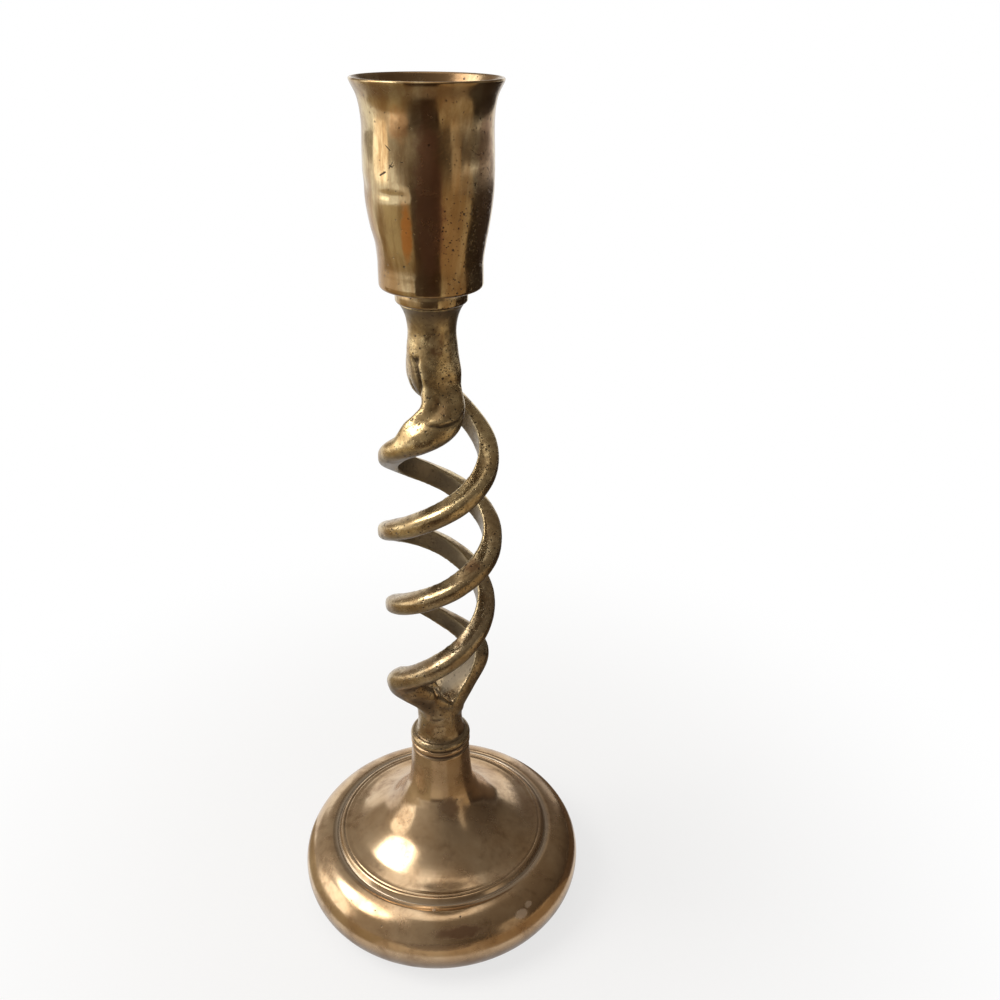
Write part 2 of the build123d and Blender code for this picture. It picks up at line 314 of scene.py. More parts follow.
# Clouds of tarnish: noise of that size, cut at the cover with a soft edge
clouds, enter, leave = effect("tarnish clouds", {"Position": None, "Size": 0.01, "Cover": 0.5,
                                                 "Edge": 0.15}, ["Mask"])
cloud = put(clouds, "ShaderNodeTexNoise", {
    "Vector": enter["Position"], "Scale": math_node(clouds, "DIVIDE", 1.0, enter["Size"]),
    "Detail": 6.0, "Roughness": 0.62, "Distortion": 0.35})
level = math_node(clouds, "SUBTRACT", 1.0, enter["Cover"])
level = ramp(clouds, level, 0.0, 1.0, 0.3, 0.7)
low = math_node(clouds, "SUBTRACT", level, enter["Edge"])
high = math_node(clouds, "ADD", level, enter["Edge"])
clouds.links.new(ramp(clouds, cloud.outputs["Fac"], low, high), leave["Mask"])

# Casting pits: small dark holes, one to a cell, where the cell's own number is under the share,
# and that share swells and shrinks in clumps
pits, enter, leave = effect("casting pits", {"Position": None, "Spacing": 0.002, "Share": 0.4,
                                             "Radius": 0.2, "Clump": 0.008}, ["Mask", "Height"])
cells = put(pits, "ShaderNodeTexVoronoi", {
    "Vector": enter["Position"], "Scale": math_node(pits, "DIVIDE", 1.0, enter["Spacing"]),
    "Randomness": 1.0})
number = put(pits, "ShaderNodeSeparateColor", {0: cells.outputs["Color"]}).outputs
clump = put(pits, "ShaderNodeTexNoise", {
    "Vector": enter["Position"], "Scale": math_node(pits, "DIVIDE", 1.0, enter["Clump"]),
    "Detail": 2.0})
dense = math_node(pits, "MULTIPLY", enter["Share"],
                  ramp(pits, clump.outputs["Fac"], 0.38, 0.62, 0.15, 1.9))
chosen = math_node(pits, "LESS_THAN", number[0], dense)
wide = math_node(pits, "MULTIPLY", enter["Radius"], ramp(pits, number[1], 0.0, 1.0, 0.4, 1.35))
near = math_node(pits, "DIVIDE", cells.outputs["Distance"], wide)
pit = math_node(pits, "MULTIPLY", ramp(pits, near, 1.0, 0.5), chosen)
pits.links.new(pit, leave["Mask"])
pits.links.new(math_node(pits, "MULTIPLY", pit, -1.0), leave["Height"])

# Stain: one patch round a place, as wide as its span along each axis, with a ragged soft edge
stain, enter, leave = effect("stain", {"Position": None, "Center": (0, 0, 0),
                                       "Span": (0.01, 0.01, 0.01), "Ragged": 0.4, "Soft": 0.5},
                             ["Mask"])
off = vector_math(stain, "SUBTRACT", enter["Position"], enter["Center"])
off = vector_math(stain, "LENGTH", vector_math(stain, "DIVIDE", off, enter["Span"]))
torn = put(stain, "ShaderNodeTexNoise", {"Vector": enter["Position"], "Scale": 420.0,
                                         "Detail": 5.0, "Roughness": 0.65})
torn = math_node(stain, "MULTIPLY", math_node(stain, "SUBTRACT", torn.outputs["Fac"], 0.5),
                 math_node(stain, "MULTIPLY", enter["Ragged"], 2.0))
core = math_node(stain, "SUBTRACT", 1.0, enter["Soft"])
stain.links.new(ramp(stain, math_node(stain, "ADD", off, torn), 1.0, core), leave["Mask"])

# Nick: a short scratch from one place to another, from the distance to that straight line
nick, enter, leave = effect("nick", {"Position": None, "Start": (0, 0, 0), "End": (0, 0, 0.001),
                                     "Width": 0.0002}, ["Mask"])
off = vector_math(nick, "SUBTRACT", enter["Position"], enter["Start"])
span = vector_math(nick, "SUBTRACT", enter["End"], enter["Start"])
gone = math_node(nick, "DIVIDE", vector_math(nick, "DOT_PRODUCT", off, span),
                 vector_math(nick, "DOT_PRODUCT", span, span), clamp=True)
foot = put(nick, "ShaderNodeVectorMath", {0: span, "Scale": gone}, operation="SCALE").outputs[0]
off = vector_math(nick, "LENGTH", vector_math(nick, "SUBTRACT", off, foot))
nick.links.new(ramp(nick, math_node(nick, "DIVIDE", off, enter["Width"]), 1.0, 0.35),
               leave["Mask"])

# Turning marks: fine uneven rings of noise along the distance from the axis plus the height
rings, enter, leave = effect("turning marks", {"Position": None, "Pitch": 0.0004}, ["Height"])
height_above = put(rings, "ShaderNodeSeparateXYZ", {0: enter["Position"]}).outputs[2]
away = vector_math(rings, "LENGTH", vector_math(rings, "MULTIPLY", enter["Position"], (1, 1, 0)))
along = math_node(rings, "ADD", away, height_above)
mark = put(rings, "ShaderNodeTexNoise", {"W": math_node(rings, "DIVIDE", along, enter["Pitch"]),
                                         "Scale": 1.0, "Detail": 2.0}, noise_dimensions="1D")
rings.links.new(mark.outputs["Fac"], leave["Height"])

# Hairlines: thin scratches from noise that is drawn out along one direction
hairs, enter, leave = effect("hairlines", {"Position": None, "Turn": None, "Length": 0.01,
                                           "Amount": 0.5}, ["Mask"])
turned = put(hairs, "ShaderNodeVectorRotate", {
    "Vector": enter["Position"], "Rotation": enter["Turn"]}, rotation_type="EULER_XYZ")
strand = put(hairs, "ShaderNodeTexNoise", {
    "Vector": vector_math(hairs, "MULTIPLY", turned.outputs[0], (1, 22, 22)),
    "Scale": math_node(hairs, "DIVIDE", 1.0, enter["Length"]), "Detail": 3.0, "Distortion": 0.4})
ridge = math_node(hairs, "ABSOLUTE", math_node(hairs, "SUBTRACT", strand.outputs["Fac"], 0.5))
thin = ramp(hairs, enter["Amount"], 0.0, 1.0, 0.002, 0.02)
hairs.links.new(ramp(hairs, math_node(hairs, "DIVIDE", ridge, thin), 1.0, 0.2), leave["Mask"])


def group(tree, used, inputs):
    """Places a node group with its own values."""
    return put(tree, "ShaderNodeGroup", inputs, node_tree=used)


def cloud_mask(tree, where, size, cover, edge):
    """Mask of tarnish clouds of a size in metres."""
    return group(tree, clouds, {"Position": where, "Size": size, "Cover": cover,
                                "Edge": edge}).outputs[0]


def pitting(tree, where, spacing, share, radius, clump):
    """Mask and height of casting pits. Spacing and clump are in metres."""
    return group(tree, pits, {"Position": where, "Spacing": spacing, "Share": share,
                              "Radius": radius, "Clump": clump}).outputs


def attribute(tree, name):
    """Value of one of the piece's marks."""
    return put(tree, "ShaderNodeAttribute", attribute_name=name).outputs["Fac"]


def shaded(name):
    """New material, its nodes and shader, and its coordinates."""
    material = bpy.data.materials.new(name)
    material.use_nodes = True
    tree = material.node_tree
    return material, tree, tree.nodes["Principled BSDF"], put(tree, "ShaderNodeTexCoord").outputs


def aged_brass(name):
    """New material, its nodes and shader, and what every brass finish starts from: the place on
    the object, how far the surface faces up, and the mark for dirt and painted shade."""
    material, tree, shader, place = shaded(name)
    facing = put(tree, "ShaderNodeSeparateXYZ", {0: place["Normal"]}).outputs[2]
    return material, tree, shader, place["Object"], facing, attribute(tree, "dirt_and_shade")


def times(tree, *values):
    """Product of sockets and numbers."""
    total = values[0]
    for value in values[1:]:
        total = math_node(tree, "MULTIPLY", total, value)
    return total


def most(tree, *values):
    """Largest of sockets and numbers."""
    total = values[0]
    for value in values[1:]:
        total = math_node(tree, "MAXIMUM", total, value)
    return total


def stains(tree, where, rows):
    """Largest mask of a row of stains, given as center, span in millimetres, and strength."""
    found = 0.0
    for center, span, strength in rows:
        one = group(tree, stain, {"Position": where, "Center": [v * 0.001 for v in center],
                                  "Span": [v * 0.001 for v in span]})
        found = most(tree, found, times(tree, one.outputs[0], strength))
    return found


def nicks(tree, where, rows):
    """Largest mask of a row of nicks, given as start, end and width in millimetres."""
    found = 0.0
    for start, end, width in rows:
        one = group(tree, nick, {"Position": where, "Start": [v * 0.001 for v in start],
                                 "End": [v * 0.001 for v in end], "Width": width * 0.001})
        found = most(tree, found, one.outputs[0])
    return found


def coated(tree, color, coats):
    """The colour with a row of coats over it, each given as mask, strength and screen colour."""
    for mask, strength, shade in coats:
        color = blend_color(tree, times(tree, mask, strength), color, tone(*shade))
    return color


def finish(tree, shader, color, polish, tarnish, dulling, relief, strength, depth):
    """Links a finish to its shader. The polish is a mask with the roughness at its two ends, and
    tarnish adds its dulling. Tarnish is partly dull oxide, so there it is less metallic."""
    mask, smoothest, roughest = polish
    rough = math_node(tree, "ADD", ramp(tree, mask, 0.0, 1.0, smoothest, roughest),
                      times(tree, tarnish, dulling), clamp=True)
    tree.links.new(color, shader.inputs["Base Color"])
    tree.links.new(rough, shader.inputs["Roughness"])
    tree.links.new(ramp(tree, tarnish, 0.0, 1.0, 1.0, 0.5), shader.inputs["Metallic"])
    bump = put(tree, "ShaderNodeBump", {"Strength": strength, "Distance": depth,
                                        "Height": relief})
    tree.links.new(bump.outputs[0], shader.inputs["Normal"])


base_brass, tree, shader, where, facing, dirt_and_shade = aged_brass("aged brass base")
broad = cloud_mask(tree, where, 0.034, 0.5, 0.16)
small = cloud_mask(tree, where, 0.0085, 0.42, 0.16)
fleck = cloud_mask(tree, where, 0.0022, 0.4, 0.12)
pitted = pitting(tree, where, 0.0024, 0.1, 0.12, 0.02)
turning = group(tree, rings, {"Position": where, "Pitch": 0.00035})
# Painted shade: faces that turn downwards are painted a darker, duller brown.
underside_shade = ramp(tree, facing, 0.35, -0.35)
# Brown stains, partly real tarnish and partly painted dark reflections: on the cone right of the neck,
# down the right side and low on the front of the edge.
brown_tarnish_and_reflection = stains(tree, where, [((4, -41.5, 17.8), (11, 5, 2.0), 0.9),
                             ((-2, -43, 14.8), (13, 6, 1.4), 0.55),
                             ((2.5, -12.5, 38.5), (4.2, 5, 5), 0.7),
                             ((31, 8, 21), (12, 26, 7), 0.5), ((14, -10, 30), (7, 8, 6), 0.35)])
worn = stains(tree, where, [((24.1, -36.4, 17.4), (3.4, 2.4, 1.5), 0.9),
                            ((26.5, -33.8, 18.4), (1.8, 1.8, 1.0), 0.8),
                            ((-3.1, -36.3, 21.0), (0.8, 0.6, 0.6), 1.0)])
spots = most(tree, times(tree, dirt_and_shade, 0.8), times(tree, pitted[0], 0.75))
color = blend_color(tree, broad, tone(222, 195, 160), tone(198, 165, 126))
# The pale coat on the crown ring is a painted highlight.
color = coated(tree, color, [
    (small, 0.5, (160, 126, 92)), (times(tree, fleck, small), 0.5, (132, 102, 72)),
    (attribute(tree, "crown_highlight"), 0.6, (236, 224, 206)), (brown_tarnish_and_reflection, 1.0, (106, 76, 52)),
    (underside_shade, 0.85, (98, 75, 56)), (worn, 0.55, (226, 206, 186)), (spots, 1.0, (58, 42, 30))])
tarnish = most(tree, brown_tarnish_and_reflection, times(tree, underside_shade, 0.6), spots, times(tree, worn, 0.7))
relief = math_node(tree, "ADD", times(tree, turning.outputs[0], 0.10), pitted[1])
relief = math_node(tree, "ADD", relief, times(tree, worn, 0.5))
finish(tree, shader, color, (small, 0.18, 0.28), tarnish, 0.2, relief, 0.35, 0.00012)
base_cast.data.materials.append(base_brass)
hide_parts("base")
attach(base_cast, "root")

# Stem

# One brass casting: the necks at both ends are split lengthwise, and each half becomes a strand
# with a flat inner face that winds round the open core. It was filed by hand, so it is a little
# uneven, pitted all over, yellow where hands rub it and olive brown low down.
lower_split, upper_split = 71.7, 185.4
lower_neck, upper_neck = 6.95, 7.15
stem_top = 201.0
fuse_step = 0.41
strand_width, strand_depth, strand_reach, strand_sink, strand_bow = 6.2, 5.5, 11.4, 0.3, 1.2
# Height along the split, angle in degrees, reach of the flat face, share kept of the half neck,
# and girth against the full section
right_strand = np.array([
    (0.000, -332, 0.00, 1.00, 1.00), (0.026, -332, 0.05, 1.00, 1.00),
    (0.055, -332, 0.24, 0.92, 1.00), (0.085, -332, 0.49, 0.78, 1.00),
    (0.115, -332, 0.75, 0.60, 1.00), (0.140, -328, 0.94, 0.40, 1.00),
    (0.165, -313, 1.01, 0.16, 0.95), (0.205, -280, 0.99, 0.00, 0.85),
    (0.270, -235, 0.98, 0.00, 0.74), (0.334, -180, 1.00, 0.00, 0.95),
    (0.533, 0, 1.08, 0.00, 1.00), (0.750, 180, 0.97, 0.00, 1.00),
    (0.792, 210, 0.95, 0.07, 1.00), (0.829, 242, 0.87, 0.24, 1.00),
    (0.857, 274, 0.66, 0.42, 1.00), (0.880, 296, 0.42, 0.52, 1.00),
    (0.905, 303, 0.22, 0.62, 1.00), (0.935, 299, 0.08, 0.85, 1.00),
    (0.965, 295, 0.02, 1.00, 1.00), (1.000, 295, 0.00, 1.00, 1.00)])
left_strand = np.array([
    (0.000, -512, 0.00, 1.00, 1.00), (0.030, -512, 0.05, 1.00, 1.00),
    (0.057, -513, 0.25, 0.90, 1.00), (0.081, -516, 0.52, 0.74, 1.00),
    (0.101, -520, 0.80, 0.55, 1.00), (0.118, -518, 0.98, 0.36, 1.00),
    (0.137, -508, 1.02, 0.20, 1.02), (0.168, -486, 1.00, 0.04, 1.03),
    (0.212, -454, 0.98, 0.00, 1.02), (0.333, -361, 0.95, 0.00, 0.95),
    (0.550, -180, 1.08, 0.00, 1.00), (0.758, 0, 1.00, 0.00, 1.00),
    (0.815, 42, 0.96, 0.00, 1.00), (0.853, 60, 0.80, 0.08, 1.00),
    (0.882, 72, 0.55, 0.28, 1.00), (0.905, 84, 0.34, 0.50, 1.00),
    (0.930, 97, 0.16, 0.74, 1.00), (0.960, 110, 0.05, 0.96, 1.00),
    (1.000, 115, 0.00, 1.00, 1.00)])
# Webs of metal that fill the folds at the lowest bend, at the instep of the leg and at its heel:
# center, radii and lean in degrees
webs = [((-7.7, -7.8, 82.7), (4.3, 3.4, 4.8), -35), ((-4.7, -7.2, 80.3), (3.9, 2.7, 4.2), -35),
        ((-3.4, -6.4, 82.4), (2.5, 2.4, 2.2), -35), ((-2.6, -13.9, 90.2), (2.6, 1.3, 1.3), -30),
        ((0.2, -5.6, 77.6), (5.2, 1.6, 1.3), -43),
        ((-5.3, -9.6, 171.4), (8.4, 1.9, 2.2), 46), ((6.4, -6.2, 174.2), (2.0, 1.9, 4.0), 0),
        ((-1.0, -7.2, 176.6), (2.5, 2.2, 3.6), 20)]


def eased_table(at, table):
    """Monotone cubic through each column of a table whose first column is the place: the slope
    at a row is the harmonic mean of the two spans' slopes, or zero where they change sign."""
    x, y = table[:, 0], table[:, 1:]
    h = np.diff(x)[:, None]
    d = np.diff(y, axis=0) / h
    same = d[:-1] * d[1:] > 0
    w1, w2 = 2 * h[1:] + h[:-1], h[1:] + 2 * h[:-1]
    safe_a, safe_b = np.where(same, d[:-1], 1), np.where(same, d[1:], 1)
    slope = np.vstack([d[:1], np.where(same, (w1 + w2) / (w1 / safe_a + w2 / safe_b), 0), d[-1:]])
    i = np.clip(np.searchsorted(x, at, side="right") - 1, 0, len(x) - 2)
    t = ((at - x[i]) / (x[i + 1] - x[i]))[:, None]
    return ((2 * t**3 - 3 * t**2 + 1) * y[i] + (t**3 - 2 * t**2 + t) * h[i] * slope[i]
            + (3 * t**2 - 2 * t**3) * y[i + 1] + (t**3 - t**2) * h[i] * slope[i + 1])


def strand_surface(table, rows, around):
    """D section carried along a strand's route: the route winds at radius reach and angle a over
    the height, and the section stands on it square to the run, its flat side towards the axis.
    Its outline is x = w/2 sgn(cos b) |cos b|^0.62, y = d (sin b)^0.86 over the flat."""
    u = np.linspace(0, 1, 4001)
    bottom, top = lower_split - 0.6, upper_split + 0.6

    def route(share):
        held = np.clip(share, 0, 1)
        turn, reach, keep, girth = eased_table(held, table).T
        turn = np.radians(turn)
        out = (strand_reach + strand_sink) * reach - strand_sink
        spot = np.stack([out * np.cos(turn) + strand_bow * np.sin(np.pi * held),
                         out * np.sin(turn), bottom + share * (top - bottom)], 1)
        return spot, turn, keep, girth

    line = route(u)[0]
    length = np.concatenate([[0], np.cumsum(np.linalg.norm(np.diff(line, axis=0), axis=1))])
    s = np.linspace(0, length[-1], rows)

    def point(distance):
        past = np.maximum(distance - length[-1], 0) + np.minimum(distance, 0)
        spot = route(np.interp(distance, length, u))[0]
        return spot + past[:, None] * [0, 0, 1]

    spot, turn, keep, girth = route(np.interp(s, length, u))
    run = point(s + 4.0) - point(s - 4.0)
    run /= np.linalg.norm(run, axis=1)[:, None]
    radial = np.stack([np.cos(turn), np.sin(turn), 0 * turn], 1)
    out = radial - run * (radial * run).sum(1)[:, None]
    out /= np.linalg.norm(out, axis=1)[:, None]
    side = np.cross(out, run)
    neck = np.where(s < length[-1] / 2, lower_neck, upper_neck) * 0.985
    width = strand_width * girth * (1 - keep) + 2 * neck * keep
    depth = strand_depth * girth * (1 - keep) + (neck + strand_sink) * keep
    b = np.linspace(0, 2 * np.pi, around, endpoint=False)
    across = np.sign(np.cos(b)) * np.abs(np.cos(b)) ** 0.62
    up = np.where(np.sin(b) > 0, np.abs(np.sin(b)) ** 0.86, -0.04 * np.abs(np.sin(b)))
    grid = (spot[:, None] + side[:, None] * (width[:, None] / 2 * across)[..., None]
            + out[:, None] * (depth[:, None] * up)[..., None])
    faces = grid_faces(rows, around)
    faces += [list(range(around))[::-1], list(range((rows - 1) * around, rows * around))]
    return grid.reshape(-1, 3), faces


def leaning_web(center, radii, lean, turns=48):
    """Ellipsoid about a center: its half circle profile turned, scaled by the radii, and leaned
    about the Y axis."""
    half = arc_run((0, 0), 1, -90, 90, 25)
    half[[0, -1], 0] = 0.01
    points, faces = turned_surface(half, turns)
    points = points * radii
    a = math.radians(lean)
    turn = np.array([[math.cos(a), 0, -math.sin(a)], [0, 1, 0], [math.sin(a), 0, math.cos(a)]])
    return points @ turn.T + center, faces


neck_low = smooth_run([(8.2, 61.4), (7.6, 62.4), (7.05, 64.6), (6.92, 67.5), (6.98, 71.0)], 6)
neck_high = smooth_run([(7.15, 186.3), (6.75, 189.2), (6.35, 193.2), (6.75, 196.6), (7.7, 199.4),
                        (8.7, 200.95)], 6)
parts = [strand_surface(right_strand, 420, 48), strand_surface(left_strand, 420, 48)]
for first, neck, last in (((8.2, 60.4), neck_low, (6.9, lower_split)),
                          ((7.0, upper_split), neck_high, (8.2, stem_top))):
    parts.append(turned_surface(even_run(np.vstack([first, neck, last]), 0.6), 96))
for center, radii, lean in webs:
    parts.append(leaning_web(center, radii, lean))
points, faces, count = [], [], 0
for part_points, part_faces in parts:
    points.append(part_points)
    faces += [[v + count for v in face] for face in part_faces]
    count += len(part_points)
rough_cast = finished_piece("rough_cast", np.vstack(points), faces)
fused = rough_cast.modifiers.new("fuse", "REMESH")
fused.mode = "VOXEL"
fused.voxel_size = fuse_step * 0.001
worked_out = rough_cast.evaluated_get(bpy.context.evaluated_depsgraph_get())
fused_mesh = bpy.data.meshes.new_from_object(worked_out)
bpy.data.objects.remove(rough_cast)


def mesh_arrays(mesh):
    """Points in millimetres, normals and edges of a mesh as arrays."""
    co = np.empty(len(mesh.vertices) * 3)
    mesh.vertices.foreach_get("co", co)
    normal = np.empty(len(mesh.vertices) * 3)
    mesh.vertices.foreach_get("normal", normal)
    edges = np.empty(len(mesh.edges) * 2, int)
    mesh.edges.foreach_get("vertices", edges)
    return co.reshape(-1, 3) * 1000, normal.reshape(-1, 3), edges.reshape(-1, 2)


def relaxed(points, edges, rounds, share):
    """Moves each point towards the mean of its neighbours by the share, that many times."""
    start, end = np.hstack([edges[:, 0], edges[:, 1]]), np.hstack([edges[:, 1], edges[:, 0]])
    count = np.maximum(np.bincount(start, minlength=len(points)), 1)
    for _ in range(rounds):
        mean = np.stack([np.bincount(start, points[end, axis], len(points)) / count
                         for axis in range(3)], 1)
        points = points + share * (mean - points)
    return points


def round_place(points, center, reach):
    """Bell from 1 at the center to 0 far off: exp(-(distance / reach)^2), reach per axis."""
    return np.exp(-(((points - center) / reach) ** 2).sum(1))


def along_line(points, line):
    """Distance of each point from an open line of straight runs, and how far it is above it."""
    best = np.full(len(points), 1e9)
    above = np.zeros(len(points))
    for a, b in zip(line[:-1], line[1:]):
        t = np.clip(((points - a) @ (b - a)) / ((b - a) @ (b - a)), 0, 1)[:, None]
        off = points - (a + t * (b - a))
        far = np.linalg.norm(off, axis=1)
        above = np.where(far < best, off[:, 2], above)
        best = np.minimum(far, best)
    return best, above


heel_fold = np.array([(-4.5, -12.8, 173.4), (-1.1, -13.5, 172.0), (1.5, -13.6, 171.6),
                      (4.6, -12.2, 171.8), (6.8, -10.5, 172.3), (8.3, -8.3, 173.4)])
split_shadow = np.array([(-5.5, -6.6, 82.0), (0.0, -5.6, 77.8), (3.7, -5.9, 73.7)])
parting_line = np.array([(3.38, -5.97, 73.5), (3.33, -6.07, 67.6), (3.3, -6.8, 62.6)])
slot_line = np.array([(-5.35, -4.5, 187.5), (-4.6, -5.9, 185.7), (-3.7, -6.6, 183.2),
                      (-3.2, -6.6, 180.5), (-3.0, -5.9, 177.6)])
instep_ridge = np.array([(-3.2, -7.0, 186), (-2.3, -7.9, 182), (-1.5, -8.2, 178),
                         (-1.9, -9.4, 174.3)])
casting_hole = (-4.2, -5.8, 186.9)
rough_patch = (3.4, -5.6, 193.4)
points, _, edges = mesh_arrays(fused_mesh)
points = relaxed(points, edges, 3, 0.5)
web_area = np.clip(1.6 * round_place(points, (-6.6, -7.8, 82.2), (6.0, 6.0, 6.5)), 0, 1)
web_area *= fade(points[:, 1], -1.5, -2)
ankle = bell(points[:, 2], upper_split + 0.4, 2.2)
for center, reach in (((-4.0, -9.5, 174.0), (5.5, 5.5, 5.0)), ((7.5, -7.0, 174.5), (3.0, 3.5, 5.5)),
                      ((-9.5, -10.5, 167.5), (4.0, 4.0, 4.0))):
    ankle = np.maximum(ankle, round_place(points, center, reach))
smooth_area = np.clip(np.maximum(web_area, 1.3 * ankle), 0, 1)
points = relaxed(points, edges, 84, 0.6 * smooth_area[:, None])
fused_mesh.vertices.foreach_set("co", (points * 0.001).ravel())
fused_mesh.update()
points, normal, edges = mesh_arrays(fused_mesh)
held = fade(points[:, 2], 64, 4) * fade(points[:, 2], stem_top - 0.5, -2)
uneven = (0.10 * lattice_noise(points, 9.0, 7) + 0.055 * lattice_noise(points, 3.6, 8)
          + 0.022 * lattice_noise(points, 1.4, 9))
uneven += 0.16 * lattice_noise(points, 1.3, 11) * round_place(points, rough_patch, 3.2)
fold_gap, fold_side = along_line(points, heel_fold)
uneven -= 0.42 * bell(fold_gap, 0, 0.42)
uneven += 0.5 * bell(fold_gap, 0, 2.6) * fade(fold_side, 0, 0.8)
slot_gap = along_line(points, slot_line)[0]
slot_ends = fade(points[:, 2], 176.5, 1.5) * fade(points[:, 2], 188, -1.5)
ridge_gap = along_line(points, instep_ridge)[0]
uneven += 0.45 * bell(ridge_gap, 0, 1.3)
uneven -= 0.85 * bell(slot_gap, 0, 0.55) * slot_ends
uneven -= 0.7 * round_place(points, casting_hole, (0.6, 0.9, 0.8))
uneven += 0.16 * bell(along_line(points, parting_line)[0], 0, 0.45)
points = points + normal * (uneven * held)[:, None]
points[:, 2] = np.minimum(points[:, 2], stem_top)
fused_mesh.vertices.foreach_set("co", (points * 0.001).ravel())
fused_mesh.polygons.foreach_set("use_smooth", np.ones(len(fused_mesh.polygons), bool))
fused_mesh.update()
points, normal, edges = mesh_arrays(fused_mesh)
inward = np.clip(-(points[:, :2] * normal[:, :2]).sum(1)
                 / np.maximum(np.hypot(points[:, 0], points[:, 1]), 1), 0, 1)
bulge = ((points - relaxed(points, edges, 10, 0.5)) * normal).sum(1)
# Dirt and painted shade: creases and the heel fold are darkened. The split at the lowest bend, the
# sliver behind the slot, the casting hole and a spot in the lower V get painted shade.
behind_slot = along_line(points, slot_line - (1.6, -1.0, 0))[0] < 1.5
stem_dirt_and_shade = (0.8 * fade(-bulge, 0.036, 0.12) + 0.9 * bell(fold_gap, 0, 0.45)
             + 0.4 * bell(along_line(points, split_shadow)[0], 0, 0.8)
             + (bell(slot_gap, 0, 0.5) + 0.55 * behind_slot) * slot_ends
             + round_place(points, casting_hole, (0.7, 1.0, 0.9))
             + 0.6 * round_place(points, (0.6, -6.8, 75.0), (1.3, 2.0, 0.8)))
# The edge mark is rub wear on convex edges plus a painted highlight along the instep ridge.
add_marks(fused_mesh, {"inward": inward, "dirt_and_shade": np.clip(stem_dirt_and_shade, 0, 1),
                       "edge": fade(bulge, 0.035, 0.10) + 1.2 * bell(ridge_gap, 0, 0.7)})
fused_mesh.materials.clear()
stem_cast = bpy.data.objects.new("twist_casting", fused_mesh)
bpy.context.scene.collection.objects.link(stem_cast)

stem_brass, tree, shader, where, facing, dirt_and_shade = aged_brass("aged brass stem")
height = put(tree, "ShaderNodeSeparateXYZ", {0: where}).outputs[2]
rise = ramp(tree, height, 0.095, 0.165)
broad = cloud_mask(tree, where, 0.017, 0.46, 0.12)
small = cloud_mask(tree, where, 0.0048, 0.45, 0.15)
fleck = cloud_mask(tree, where, 0.0014, 0.45, 0.1)
foot = stains(tree, where, [((-5, -12, 168), (8, 6, 6), 1.0), ((7, -9, 180), (6, 6, 9), 0.7)])
coarse = pitting(tree, where, 0.00115, ramp(tree, foot, 0.0, 1.0, 0.4, 0.95), 0.3, 0.008)
fine = pitting(tree, where, 0.00062, 0.55, 0.32, 0.006)
rust = stains(tree, where, [((9.0, -12, 158.5), (3.0, 3, 2.6), 0.7),
                            ((9.6, -11.5, 129), (3.4, 3.2, 3.0), 0.6),
                            ((6.6, -11, 101.5), (3.4, 3, 2.6), 0.7),
                            ((1, -6.6, 191), (2.6, 4, 5), 0.7), ((2, -12, 178), (4, 5, 6), 0.45),
                            ((-3, -7, 66), (3, 4, 3.5), 0.4)])
ragged_rust = times(tree, rust, ramp(tree, small, 0.0, 0.8, 0.35, 1.0))
# Greyer and darker, with fewer pits, on faces that turn towards the axis.
axis_facing = ramp(tree, attribute(tree, "inward"), 0.25, 0.75)
# Painted shade: faces that turn downwards are painted a darker, duller brown.
underside_shade = ramp(tree, facing, 0.2, -0.5)
holes = most(tree, times(tree, coarse[0], 0.85), times(tree, fine[0], 0.7))
holes = times(tree, holes, ramp(tree, axis_facing, 0.0, 1.0, 1.0, 0.35))
dots = most(tree, holes, times(tree, dirt_and_shade, 0.85))
yellow = blend_color(tree, broad, tone(236, 211, 160), tone(198, 165, 114))
olive = blend_color(tree, broad, tone(198, 179, 147), tone(162, 140, 110))
# The pale edge coat is rub wear on convex edges and a painted highlight along the instep ridge.
color = coated(tree, blend_color(tree, rise, olive, yellow), [
    (small, 0.55, (142, 110, 70)), (ragged_rust, 1.0, (130, 88, 56)), (fleck, 0.35, (112, 86, 56)),
    (axis_facing, 0.85, (138, 127, 110)), (underside_shade, 0.85, (84, 70, 56)),
    (attribute(tree, "edge"), 0.4, (220, 200, 156)), (dots, 1.0, (52, 38, 25))])
tarnish = most(tree, times(tree, underside_shade, 0.7), dots, times(tree, rust, 0.6), times(tree, axis_facing, 0.6))
grain = put(tree, "ShaderNodeTexNoise", {"Vector": where, "Scale": 1300.0, "Detail": 4.0})
relief = math_node(tree, "ADD", times(tree, grain.outputs["Fac"], 0.6),
                   math_node(tree, "ADD", coarse[1], fine[1]))
finish(tree, shader, color, (small, 0.22, 0.34), tarnish, 0.2, relief, 0.55, 0.00015)
stem_cast.data.materials.append(stem_brass)
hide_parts("twist_stem")
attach(stem_cast, "root")

# Collar ring of the stem

# The stem's foot is turned to a thin flange ring that seats on the base's step ring, with a
# crease where the neck begins. It belongs to the stem casting.
collar_profile = eased_corners([
    (3.1, 59.05), (8.8, 59.05), (9.2, 59.3), (9.45, 60.0), (9.42, 60.7), (9.1, 61.35),
    (8.55, 61.85), (8.05, 61.9), (7.72, 62.15), (7.35, 63.2), (7.14, 64.4), (7.0, 66.0),
    (6.8, 68.0), (3.1, 68.0),
], 0.5, 5)
collar_points, collar_faces = turned_surface(even_run(collar_profile, 0.5), 160, closed=True)
collar_height = collar_points[:, 2]
# The edge mark here is a painted highlight round the collar ring's outer round.
collar_dirt = 0.45 * bell(collar_height, 61.95, 0.22) + bell(collar_height, base_height, 0.25)
collar = finished_piece("stem_collar", collar_points, collar_faces,
                        {"dirt_and_shade": np.clip(collar_dirt, 0, 1), "inward": 0 * collar_height,
                         "edge": 0.7 * bell(collar_height, 60.9, 0.5)})
collar.data.materials.append(stem_brass)
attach(collar, "root")

# Cup

